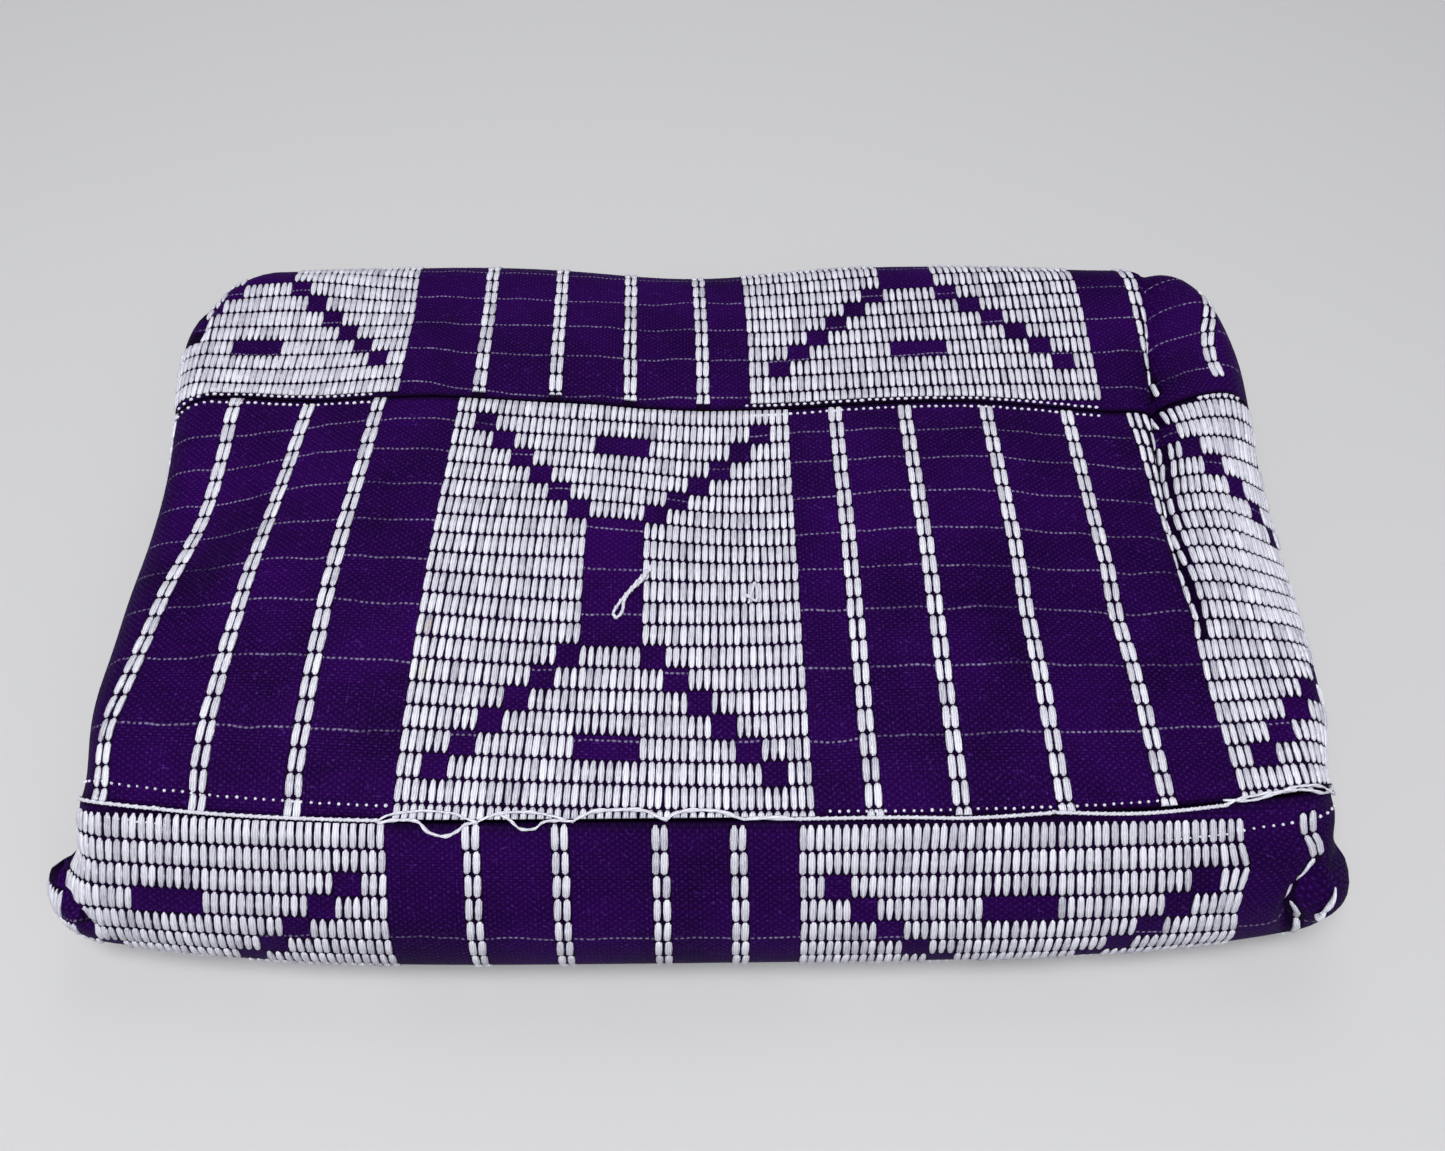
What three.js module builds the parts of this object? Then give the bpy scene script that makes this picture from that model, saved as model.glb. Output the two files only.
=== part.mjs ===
// A kente cloth, folded up and laid flat. It is woven as narrow strips that are sewn
// edge to edge, and the sewn cloth goes back and forth over itself. The outermost turn
// wraps the front, the top and the back, and the other turns lie nested inside it.
// Millimetres. X runs along the strips, Y from front to back, Z up.
import * as THREE from "three";

// One woven strip, and the cloth that the strips are sewn into.
const stripWide = 104;
const seamGap = 0.4;
const clothThick = 2;

// The bundle: outside height of its flat part, and turns nested one inside another.
const bundleHigh = 40;
const turnCount = 6;
const layerPitch = (bundleHigh - clothThick) / (2 * turnCount - 1);

// The front fold, on the middle of the cloth: it breaks over at the seam, runs down a
// slope, swells to a belly and rolls under on a foot. Inner turns are smaller copies.
const frontFold = { breakDeg: 49, breakRadius: 1.9, bellyRadius: 22.9, footRadius: 10.9 };
const tightestRadius = 1.3;
const innerSetBack = 1;
const breakEase = 15;

// The back fold of the outermost turn, from the front seam: where the flat top ends.
const backFold = { flatTo: 146, radius: 12.9 };

// Where the inner layers turn back at the rear: the outside of each small turn.
const rearTurns = [
  { joins: "first and second turn, below", reach: 134 },
  { joins: "second and third turn, above", reach: 148.5 },
  { joins: "third and fourth turn, below", reach: 152 },
  { joins: "fourth and fifth turn, above", reach: 154 },
  { joins: "fifth and sixth turn, below", reach: 153.5 },
];

// The ends of the layers: outer turns curl over the ends, inner ones stop flat,
// a little past the line where the curls start.
const curlRadius = 9;
const curlDeg = 75;
const turnEnds = [
  { curls: true, past: 0 },
  { curls: true, past: 0 },
  { curls: false, past: 0.8 },
  { curls: false, past: 2.2 },
  { curls: false, past: 0.6 },
  { curls: false, past: 1.9 },
];

// How far the cloth reaches to the left and to the right, along the outermost turn.
// over is the length of cloth behind the front seam, or in front of it when negative.
const reachTable = [
  { over: -50, left: -118, right: 117 },
  { over: -42, left: -122, right: 121 },
  { over: -36, left: -129, right: 126 },
  { over: -27, left: -131, right: 126.5 },
  { over: -18, left: -125.5, right: 126 },
  { over: -9, left: -123, right: 123.5 },
  { over: 0, left: -120.5, right: 119.8 },
  { over: 20, left: -122.6, right: 124 },
  { over: 45, left: -123.4, right: 125.6 },
  { over: 70, left: -124.6, right: 126.2 },
  { over: 90, left: -124.8, right: 127.8 },
  { over: 106, left: -127, right: 130 },
  { over: 122, left: -129.5, right: 131 },
  { over: 136, left: -129.5, right: 129 },
  { over: 146, left: -125, right: 125.5 },
  { over: 156, left: -119.5, right: 121.5 },
  { over: 172, left: -118, right: 120 },
  { over: 190, left: -119, right: 121 },
  { over: 208, left: -122, right: 123 },
];
const underside = { left: -118, right: 117 };

// The inner layers end earlier beside the rear turn and beside the front fold.
const innerEnds = { rearLead: 18, rearFrom: 96, rearTo: 150, frontInset: 2.2, frontFrom: 42 };

// The seam bows: its ends lie further back than its middle, and the rear edge does
// the opposite.
const frontBow = { depth: 5.2, halfWide: 118, power: 4, fadesAt: 60 };
const rearBow = { depth: 2, halfWide: 118, power: 2, startsAt: 90 };

// Soft hills and hollows of the top, at x and over, with their spread and rise.
const swells = [
  { name: "left crown", x: -77, over: 53, spreadX: 35, spreadOver: 38, rise: 6.6 },
  { name: "left hollow", x: -113, over: 72, spreadX: 17, spreadOver: 18, rise: -4.6 },
  { name: "left front", x: -110, over: 22, spreadX: 24, spreadOver: 12, rise: 1.8 },
  { name: "left rear", x: -67, over: 105, spreadX: 22, spreadOver: 30, rise: 3.8 },
  { name: "right crown", x: 44, over: 52, spreadX: 30, spreadOver: 48, rise: 4.3 },
  { name: "middle hollow", x: -1, over: 76, spreadX: 28, spreadOver: 18, rise: -3.6 },
  { name: "rear middle", x: -32, over: 114, spreadX: 26, spreadOver: 24, rise: 2.6 },
  { name: "right hollow", x: 101, over: 82, spreadX: 22, spreadOver: 55, rise: -3.2 },
  { name: "rear hollow", x: -4, over: 155, spreadX: 32, spreadOver: 18, rise: -3.4 },
  { name: "left ear", x: -124, over: -31, spreadX: 9, spreadOver: 8, rise: 2 },
];

// The crease on the right, and the roll beyond it.
const crease = { x: 101.3, from: 60, lean: 0.07, curve: 0.0008, depth: 1.3, spread: 3.4 };
const creaseFade = { none: 44, full: 70 };
const roll = { beyond: 14, spread: 8, rise: 3.2 };

// A hollow gets shallower by this much from one layer to the next one below,
// and a hill by this share.
const hollowLoss = 0.7;
const hillLoss = 0.12;

// Steps of the meshes.
const steps = { shoulder: 2, slope: 2, belly: 3, foot: 6, rearTurn: 4, wrapArc: 6, wrapRise: 2 };
const innerSteps = { shoulder: 1, slope: 1, belly: 2, foot: 3 };
const topStep = backFold.flatTo / 12;
const coarseSteps = 3;
const fineBelow = { turns: 2, from: 85 };
const leftEndSteps = [0, 10, 21, 34];
const middleSteps = 8;
const curlSteps = 3;

const deg = Math.PI / 180;
const clamp01 = (t) => Math.min(1, Math.max(0, t));
const mix = (a, b, t) => a + (b - a) * t;

function smooth(from, to, at) {
  const t = clamp01((at - from) / (to - from));
  return t * t * (3 - 2 * t);
}

// A smooth curve through one column of a table, by Catmull and Rom's rule.
function column(table, key, at) {
  const last = table.length - 1;
  const x = Math.min(table[last].over, Math.max(table[0].over, at));
  let i = 0;
  while (i < last - 1 && x > table[i + 1].over) i += 1;
  const [a, b] = [table[i], table[i + 1]];
  const before = table[Math.max(0, i - 1)];
  const after = table[Math.min(last, i + 2)];
  const gap = b.over - a.over;
  const slopeA = (b[key] - before[key]) / (b.over - before.over);
  const slopeB = (after[key] - a[key]) / (after.over - a.over);
  const t = (x - a.over) / gap;
  const t2 = t * t;
  const t3 = t2 * t;
  const ends = (2 * t3 - 3 * t2 + 1) * a[key] + (3 * t2 - 2 * t3) * b[key];
  return ends + ((t3 - 2 * t2 + t) * slopeA + (t3 - t2) * slopeB) * gap;
}

// The pieces of one front fold, from the top down: length, turning and mesh steps.
function frontPieces(turn) {
  const full = bundleHigh / 2 - clothThick / 2;
  const half = full - turn * layerPitch;
  if (turn === turnCount - 1) {
    return [{ length: Math.PI * half, bend: 180, steps: steps.rearTurn }];
  }
  const share = half / full;
  const breakBend = frontFold.breakDeg * deg;
  const breakRadius = Math.max(frontFold.breakRadius * share, tightestRadius);
  const belly = frontFold.bellyRadius * share;
  const foot = frontFold.footRadius * share;
  const breakDrop = breakRadius * (1 - Math.cos(breakBend));
  const slopeDrop = 2 * half - breakDrop - belly * Math.cos(breakBend) - foot;
  const n = turn < 1 ? steps : innerSteps;
  return [
    { length: breakRadius * breakBend, bend: frontFold.breakDeg, steps: n.shoulder },
    { length: slopeDrop / Math.sin(breakBend), bend: 0, steps: n.slope },
    { length: belly * (Math.PI / 2 - breakBend), bend: 90 - frontFold.breakDeg, steps: n.belly },
    { length: (foot * Math.PI) / 2, bend: 90, steps: n.foot },
  ];
}

// How far a front fold ends ahead of the line where it breaks over.
function footAhead(turn) {
  let [ahead, angle] = [0, 0];
  for (const piece of frontPieces(turn)) {
    const after = angle + piece.bend * deg;
    if (piece.bend === 0) ahead += piece.length * Math.cos(angle);
    else ahead += (piece.length * (Math.sin(after) - Math.sin(angle))) / (piece.bend * deg);
    angle = after;
  }
  return ahead;
}

const foldLength = (turn) => frontPieces(turn).reduce((sum, piece) => sum + piece.length, 0);

// The section of the whole cloth, as one run of straight and bent pieces from the hem
// under the rear edge to the hem in the middle of the bundle.
function foldSection() {
  const pieces = [];
  const pen = { y: 0, z: clothThick / 2, heading: 0, run: 0 };
  const radius = backFold.radius;
  const rise = bundleHigh - clothThick - 2 * radius;
  const wrapLength = Math.PI * radius + rise;
  const tuck = 2 * stripWide - wrapLength - backFold.flatTo;
  pen.y = backFold.flatTo - tuck;

  function lay(length, bend, count, place) {
    pieces.push({ ...place, length, bend, count, ...pen });
    const angle = pen.heading * deg;
    if (bend === 0) {
      pen.y += length * Math.cos(angle);
      pen.z += length * Math.sin(angle);
    } else {
      const radiusHere = length / (bend * deg);
      const after = (pen.heading + bend) * deg;
      pen.y += radiusHere * (Math.sin(after) - Math.sin(angle));
      pen.z -= radiusHere * (Math.cos(after) - Math.cos(angle));
      pen.heading += bend;
    }
    pen.run += length;
  }

  let over = 2 * stripWide;
  function wrap(length, bend, count) {
    lay(length, bend, count, { part: "wrap", turn: 0, side: 1, over, overEnd: over - length });
    over -= length;
  }
  wrap(tuck, 0, 1);
  wrap((Math.PI / 2) * radius, 90, steps.wrapArc);
  wrap(rise, 0, steps.wrapRise);
  wrap((Math.PI / 2) * radius, 90, steps.wrapArc);

  function leg(turn, side, toY) {
    const length = Math.abs(toY - pen.y);
    lay(length, 0, 1, { part: "leg", turn, side, over: pen.y, overEnd: toY });
  }
  leg(0, 1, 0);

  for (let turn = 0; turn < turnCount; turn += 1) {
    const goesDown = turn % 2 === 0;
    const list = frontPieces(turn);
    const scale = foldLength(0) / foldLength(turn);
    if (!goesDown) list.reverse();
    let from = goesDown ? 0 : -foldLength(0);
    for (const piece of list) {
      const to = from + (goesDown ? -1 : 1) * piece.length * scale;
      const bend = goesDown ? piece.bend : -piece.bend;
      lay(piece.length, bend, piece.steps, { part: "front", turn, side: 1, over: from, overEnd: to });
      from = to;
    }
    const side = goesDown ? -1 : 1;
    if (turn === turnCount - 1) break;
    const rearY = rearTurns[turn].reach - layerPitch / 2 - clothThick / 2;
    leg(turn, side, rearY);
    const place = { part: "rear", turn, side, over: rearY, overEnd: rearY };
    lay((Math.PI * layerPitch) / 2, -180 * side, steps.rearTurn, place);
    const frontY = (turn + 1) * innerSetBack;
    leg(turn + 1, side, goesDown ? frontY - footAhead(turn + 1) : frontY);
  }
  const stripCount = Math.floor((pen.run + backFold.flatTo) / stripWide);
  leg(turnCount - 1, 1, pen.y + stripCount * stripWide - pen.run);
  return { pieces, stripCount };
}

const { pieces, stripCount } = foldSection();

// The place on the section at one length of cloth from the outer hem.
function sectionAt(run) {
  const inside = pieces.findIndex((piece) => run < piece.run + piece.length);
  const piece = pieces[inside < 0 ? pieces.length - 1 : inside];
  const along = run - piece.run;
  const share = along / piece.length;
  const angle = piece.heading * deg;
  let [y, z, after] = [0, 0, angle];
  if (piece.bend === 0) {
    y = piece.y + along * Math.cos(angle);
    z = piece.z + along * Math.sin(angle);
  } else {
    const radius = piece.length / (piece.bend * deg);
    after = (piece.heading + piece.bend * share) * deg;
    y = piece.y + radius * (Math.sin(after) - Math.sin(angle));
    z = piece.z - radius * (Math.cos(after) - Math.cos(angle));
  }
  const early = piece.part === "leg" ? piece.turn * innerSetBack * smooth(40, 0, y) : 0;
  const over = mix(piece.over, piece.overEnd, share) - early;
  const level = piece.part === "rear" ? piece.turn + share : piece.turn;
  return { part: piece.part, side: piece.side, turn: piece.turn, y, z, angle: after, over, level };
}

// The way out of the bundle from a place on the section. Near the front seam it turns
// gradually, so that raised cloth doesn't cross itself at the sharp break.
function outward(place) {
  const above = place.side > 0 && place.part !== "wrap";
  if (!above || place.part === "rear") {
    if (place.part !== "wrap") return { y: 0, z: place.side };
    return { y: Math.sin(place.angle), z: -Math.cos(place.angle) };
  }
  let tilt = frontFold.breakDeg * deg * smooth(breakEase, -breakEase, place.over);
  if (place.over < -breakEase) tilt = place.turn % 2 === 0 ? place.angle - Math.PI : place.angle;
  return { y: -Math.sin(tilt), z: Math.cos(tilt) };
}

// Where the flat part of a layer ends at the left and right, and how its ends curl.
function endsAt(place) {
  const inner = place.part !== "wrap" && (place.side < 0 || place.level > 0);
  const lead = inner ? innerEnds.rearLead * smooth(innerEnds.rearFrom, innerEnds.rearTo, place.y) : 0;
  const above = place.side > 0 ? 1 : smooth(0, 60, place.y);
  const over = place.side > 0 ? place.over : place.y;
  const left = mix(underside.left, column(reachTable, "left", over + lead), above);
  const right = mix(underside.right, column(reachTable, "right", over + lead), above);
  const curlOut = curlRadius * Math.sin(curlDeg * deg);
  const near = turnEnds[Math.floor(place.level)];
  const next = turnEnds[Math.min(turnCount - 1, Math.ceil(place.level))];
  const share2 = place.level % 1;
  const frontShare = Math.min(place.level, 2) * smooth(innerEnds.frontFrom, -6, place.y);
  const past = mix(near.past, next.past, share2) - innerEnds.frontInset * frontShare;
  const curl = mix(near.curls ? 1 : 0, next.curls ? 1 : 0, share2) * curlDeg * deg;
  const radius = Math.max(curlRadius - place.level * layerPitch, tightestRadius);
  return { left: left + curlOut - past, right: right - curlOut + past, curl, radius };
}

const creaseX = (over) => {
  const behind = Math.max(0, over - crease.from);
  return crease.x + crease.lean * behind + crease.curve * behind * behind;
};

// How far the cloth is raised out of the bundle's plain form.
function riseAt(x, place) {
  if (place.side < 0) return 0;
  const { over, level } = place;
  let rise = 0;
  for (const swell of swells) {
    const dx = (x - swell.x) / swell.spreadX;
    const dy = (over - swell.over) / swell.spreadOver;
    rise += swell.rise * Math.exp(-dx * dx - dy * dy);
  }
  const fromCrease = x - creaseX(over);
  const valley = (fromCrease / crease.spread) ** 2;
  const hill = ((fromCrease - roll.beyond) / roll.spread) ** 2;
  const shown = smooth(creaseFade.none, creaseFade.full, over) * smooth(2 * stripWide, backFold.flatTo, over);
  rise += shown * (roll.rise * Math.exp(-hill) - crease.depth * Math.exp(-valley));
  const fade = over < 0 ? smooth(-foldLength(0), 0, over) : smooth(2 * stripWide, backFold.flatTo + 14, over);
  rise *= fade;
  return rise > 0 ? rise * (1 - hillLoss * level) : Math.min(0, rise + hollowLoss * level);
}

function bowAt(x, place) {
  const front = Math.abs(x / frontBow.halfWide) ** frontBow.power;
  const rear = Math.abs(x / rearBow.halfWide) ** rearBow.power;
  const nearFront = smooth(frontBow.fadesAt, 0, place.y);
  const nearRear = smooth(rearBow.startsAt, backFold.flatTo, place.y);
  return frontBow.depth * front * nearFront - rearBow.depth * rear * nearRear;
}

// A point on the middle of the cloth. u is the length along the strip.
function middlePoint(run, u) {
  const place = sectionAt(run);
  const ends = endsAt(place);
  const out = outward(place);
  const past = u < ends.left ? ends.left - u : Math.max(0, u - ends.right);
  const angle = past / ends.radius;
  const bent = ends.radius * Math.sin(angle);
  const x = u < ends.left ? ends.left - bent : Math.min(u, ends.right) + bent;
  const lift = riseAt(x, place) - ends.radius * (1 - Math.cos(angle));
  return new THREE.Vector3(x, place.y + bowAt(x, place) + out.y * lift, place.z + out.z * lift);
}

// The direction square to the cloth at a point.
function squareTo(run, u) {
  const small = 0.04;
  const along = middlePoint(run + small, u).sub(middlePoint(run - small, u));
  const across = middlePoint(run, u + small).sub(middlePoint(run, u - small));
  return along.cross(across).normalize();
}

const isCreased = (place) => place.side > 0 && place.level < 2 && place.over > creaseFade.none;

// Places of the mesh along a strip's length, at one place of the section.
function stations(run, curls, creased) {
  const place = sectionAt(run);
  const ends = endsAt(place);
  const list = [];
  const curl = ends.curl * ends.radius;
  const spread = (from, to, count) => {
    for (let i = 0; i < count; i += 1) list.push(mix(from, to, i / count));
  };
  const fold = Math.min(creaseX(place.over), ends.right - 12);
  const foldSteps = creased ? [-8, -3.5, 0, 3.5, 8] : [-8, 0, 8];
  if (curls) spread(ends.left - curl, ends.left, curlSteps);
  for (const step of leftEndSteps.slice(0, -1)) list.push(ends.left + step);
  const inward = ends.left + leftEndSteps.at(-1);
  spread(inward, fold - 8, middleSteps);
  for (const step of foldSteps) list.push(fold + step);
  if (curls) {
    spread(ends.right, ends.right + curl, curlSteps);
    list.push(ends.right + curl);
  } else {
    list.push(ends.right);
  }
  return list.sort((a, b) => a - b);
}

// Places of the mesh across a strip: where pieces of the section begin and end, and
// the steps inside each.
function sectionStops(from, to) {
  const stops = [from];
  const clear = 1;
  for (const piece of pieces) {
    for (let i = 0; i < piece.count; i += 1) {
      const run = piece.run + (piece.length * i) / piece.count;
      if (run > from + clear && run < to - clear) stops.push(run);
    }
    if (piece.part !== "leg") continue;
    const fineTurn = piece.turn < fineBelow.turns;
    const reach = Math.max(piece.over, piece.overEnd) - clear;
    for (let i = 1; i * topStep < reach; i += 1) {
      const y = i * topStep;
      const fine = piece.side > 0 || (fineTurn && y > fineBelow.from);
      const run = piece.run + Math.abs(y - piece.y);
      const shown = fine || i % coarseSteps === 0;
      if (shown && run > from + clear && run < to - clear) stops.push(run);
    }
  }
  stops.push(to);
  return stops.sort((a, b) => a - b);
}

// One strip as a closed solid: its two faces, a cloth's thickness apart, and its rim.
function stripGeometry(from, to) {
  const stops = sectionStops(from, to);
  const curls = stops.some((run) => endsAt(sectionAt(run)).curl > 0);
  const creased = stops.some((run) => isCreased(sectionAt(run)));
  const points = [];
  const faces = [];
  const rows = stops.length;
  let columns = 0;
  for (const face of [0.5, -0.5]) {
    for (const run of stops) {
      const line = stations(run, curls, creased);
      columns = line.length;
      for (const u of line) {
        const point = middlePoint(run, u);
        points.push(...point.addScaledVector(squareTo(run, u), face * clothThick).toArray());
      }
    }
  }
  const at = (face, row, col) => (face * rows + row) * columns + col;
  const quad = (a, b, c, d) => faces.push(a, b, c, a, c, d);
  for (let row = 0; row < rows - 1; row += 1) {
    for (let col = 0; col < columns - 1; col += 1) {
      quad(at(0, row, col), at(0, row + 1, col), at(0, row + 1, col + 1), at(0, row, col + 1));
      quad(at(1, row, col), at(1, row, col + 1), at(1, row + 1, col + 1), at(1, row + 1, col));
    }
    const end = columns - 1;
    quad(at(0, row, 0), at(1, row, 0), at(1, row + 1, 0), at(0, row + 1, 0));
    quad(at(0, row, end), at(0, row + 1, end), at(1, row + 1, end), at(1, row, end));
  }
  for (let col = 0; col < columns - 1; col += 1) {
    const end = rows - 1;
    quad(at(0, 0, col), at(0, 0, col + 1), at(1, 0, col + 1), at(1, 0, col));
    quad(at(0, end, col), at(1, end, col), at(1, end, col + 1), at(0, end, col + 1));
  }
  const geometry = new THREE.BufferGeometry();
  geometry.setAttribute("position", new THREE.Float32BufferAttribute(points, 3));
  geometry.setIndex(faces);
  geometry.computeVertexNormals();
  return geometry;
}

const outerNames = ["back_strip", "top_strip", "front_strip"];
const group = new THREE.Group();
for (let i = 0; i < stripCount; i += 1) {
  const from = i * stripWide + (i > 0 ? seamGap / 2 : 0);
  const to = (i + 1) * stripWide - (i < stripCount - 1 ? seamGap / 2 : 0);
  const cloth = new THREE.MeshStandardMaterial({ color: 0x330a66, roughness: 0.75, metalness: 0 });
  const strip = new THREE.Mesh(stripGeometry(from, to), cloth);
  strip.name = outerNames[i] ?? `inner_strip_${String(i + 1).padStart(2, "0")}`;
  group.add(strip);
}

// The origin is under the middle of the bundle, on the surface that it lies on.
const box = new THREE.Box3().setFromObject(group, true);
const middle = box.getCenter(new THREE.Vector3());
group.position.set(-middle.x, -middle.y, -box.min.z);

export default group;
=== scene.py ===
import math

import bpy
import numpy as np
from mathutils import Matrix, Vector


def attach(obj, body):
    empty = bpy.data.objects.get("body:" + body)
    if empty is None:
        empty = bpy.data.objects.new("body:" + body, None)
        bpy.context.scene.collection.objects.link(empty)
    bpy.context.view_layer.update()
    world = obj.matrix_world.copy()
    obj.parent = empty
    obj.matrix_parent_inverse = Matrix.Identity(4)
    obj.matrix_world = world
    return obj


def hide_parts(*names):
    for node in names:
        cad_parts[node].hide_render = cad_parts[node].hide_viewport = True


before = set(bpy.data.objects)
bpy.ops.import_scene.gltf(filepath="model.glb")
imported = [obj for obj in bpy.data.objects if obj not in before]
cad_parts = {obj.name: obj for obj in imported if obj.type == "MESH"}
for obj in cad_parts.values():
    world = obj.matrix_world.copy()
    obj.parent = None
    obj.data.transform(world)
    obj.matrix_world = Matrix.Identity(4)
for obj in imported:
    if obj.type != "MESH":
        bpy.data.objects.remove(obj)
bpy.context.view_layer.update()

# A kente cloth, folded into a flat bundle. Shapes are worked out in millimetres with Y running
# back from the front seam, as in the part's own source, and go to metres in toFrame.
rng = np.random.default_rng(7)


# The camera: measured from the rows and columns of the woven pattern.
camera = dict(
    place=(-0.58, -85.08, 246.11),    # from the middle of the front seam, mm
    elevation=55.85, yaw=1.31, roll=0.67,
    focalPixels=1175.3, picturePixels=1445, sensor=36.0,
)
frontSeamAt = (0.04, -70.82, 0.0)    # the front seam's middle in the frame, mm


def toFrame(points):
    # millimetres from the front seam to metres in the frame
    return (np.asarray(points, float) + frontSeamAt) / 1000


def addCamera():
    # the view's directions come from the sines and cosines of elevation, yaw and roll
    tilt, yaw, roll = (math.radians(camera[key]) for key in ("elevation", "yaw", "roll"))
    ahead = Vector((math.sin(yaw) * math.cos(tilt), math.cos(yaw) * math.cos(tilt),
                    -math.sin(tilt)))
    level = ahead.cross(Vector((0, 0, 1))).normalized()
    above = level.cross(ahead)
    right = level * math.cos(roll) + above * math.sin(roll)
    up = above * math.cos(roll) - level * math.sin(roll)
    lens = bpy.data.cameras.new("camera")
    lens.sensor_width = camera["sensor"]
    lens.lens = camera["focalPixels"] * camera["sensor"] / camera["picturePixels"]
    lens.clip_start = 0.01
    holder = bpy.data.objects.new("camera", lens)
    turn = Matrix((right, up, -ahead)).transposed().to_4x4()
    holder.matrix_world = Matrix.Translation(Vector(toFrame(camera["place"]))) @ turn
    bpy.context.scene.collection.objects.link(holder)
    bpy.context.scene.camera = holder


addCamera()
print("stage: camera")


# The folded section, with the same named sizes as the part's source, in mm and degrees.
cloth = dict(stripWide=104, seamGap=0.4, thick=2.0, high=40, turns=6)
frontFold = dict(breakDeg=49, breakRadius=1.9, bellyRadius=22.9, footRadius=10.9)
frontInner = dict(tightest=1.3, setBack=1.0, setBackFades=40, breakEase=15)
backFold = dict(flatTo=146, radius=12.9, swellsPast=14)
rearReach = [134, 148.5, 152, 154, 153.5]    # outside of each small turn at the rear
endCurl = dict(radius=9, deg=75)
turnCurls = np.array([1, 1, 0, 0, 0, 0])
turnPast = np.array([0, 0, 0.8, 2.2, 0.6, 1.9])
reachTable = dict(
    over=[-50, -42, -36, -27, -18, -9, 0, 20, 45, 70, 90, 106, 122, 136, 146, 156, 172, 190, 208],
    left=[-118, -122, -129, -131, -125.5, -123, -120.5, -122.6, -123.4, -124.6, -124.8, -127,
          -129.5, -129.5, -125, -119.5, -118, -119, -122],
    right=[117, 121, 126, 126.5, 126, 123.5, 119.8, 124, 125.6, 126.2, 127.8, 130,
           131, 129, 125.5, 121.5, 120, 121, 123],
)
underside = dict(left=-118, right=117, blend=60)
innerEnds = dict(rearLead=18, rearFrom=96, rearTo=150,
                 frontInset=2.2, frontFrom=42, frontTo=-6, insetLevels=2)
frontBow = dict(depth=5.2, halfWide=118, power=4, noneAt=60, wholeAt=0)
rearBow = dict(depth=2, halfWide=118, power=2, noneAt=90, wholeAt=146)
swells = [    # x, over, spread along x, spread across, rise
    (-77, 53, 35, 38, 6.6),    # left crown
    (-113, 72, 17, 18, -4.6),    # left hollow
    (-110, 22, 24, 12, 1.8),    # left front
    (-67, 105, 22, 30, 3.8),    # left rear
    (44, 52, 30, 48, 4.3),    # right crown
    (-1, 76, 28, 18, -3.6),    # middle hollow
    (-32, 114, 26, 24, 2.6),    # rear middle
    (101, 82, 22, 55, -3.2),    # right hollow
    (-4, 155, 32, 18, -3.4),    # rear hollow
    (-124, -31, 9, 8, 2),    # left ear
]
crease = dict(x=101.3, start=60, lean=0.07, curve=0.0008, depth=1.3, spread=3.4, none=44, full=70)
roll = dict(beyond=14, spread=8, rise=3.2)
layerLoss = dict(hollow=0.7, hill=0.12)
pitch = (cloth["high"] - cloth["thick"]) / (2 * cloth["turns"] - 1)
seamRun = 2 * cloth["stripWide"]    # the length of cloth from the outer hem to the front seam


def smooth(low, high, at):
    # 0 below low, 1 above high, and an S curve between; low may be the larger one
    t = np.clip((np.asarray(at, float) - low) / (high - low), 0, 1)
    return t * t * (3 - 2 * t)


def reach(side, at):
    # a smooth curve through one column of the table, by Catmull and Rom's rule
    over, values = np.array(reachTable["over"], float), np.array(reachTable[side], float)
    at = np.clip(at, over[0], over[-1])
    i = np.clip(np.searchsorted(over, at, "right") - 1, 0, len(over) - 2)
    before, after = np.maximum(i - 1, 0), np.minimum(i + 2, len(over) - 1)
    gap = over[i + 1] - over[i]
    slopeA = (values[i + 1] - values[before]) / (over[i + 1] - over[before])
    slopeB = (values[after] - values[i]) / (over[after] - over[i])
    t = (at - over[i]) / gap
    ends = (2 * t**3 - 3 * t**2 + 1) * values[i] + (3 * t**2 - 2 * t**3) * values[i + 1]
    return ends + ((t**3 - 2 * t**2 + t) * slopeA + (t**3 - t**2) * slopeB) * gap


def frontPieces(turn):
    # length and bend of each piece of one front fold, from the top down
    full = cloth["high"] / 2 - cloth["thick"] / 2
    half = full - turn * pitch
    if turn == cloth["turns"] - 1:
        return [(math.pi * half, 180)]
    share = half / full
    bend = math.radians(frontFold["breakDeg"])
    tight = max(frontFold["breakRadius"] * share, frontInner["tightest"])
    belly, foot = frontFold["bellyRadius"] * share, frontFold["footRadius"] * share
    drop = 2 * half - tight * (1 - math.cos(bend)) - belly * math.cos(bend) - foot
    return [
        (tight * bend, frontFold["breakDeg"]),
        (drop / math.sin(bend), 0),
        (belly * (math.pi / 2 - bend), 90 - frontFold["breakDeg"]),
        (foot * math.pi / 2, 90),
    ]


def footAhead(turn):
    # how far a front fold ends ahead of the line where it breaks over
    ahead = angle = 0
    for length, bend in frontPieces(turn):
        after = angle + math.radians(bend)
        if bend:
            ahead += length * (math.sin(after) - math.sin(angle)) / (after - angle)
        else:
            ahead += length * math.cos(angle)
        angle = after
    return ahead


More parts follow.
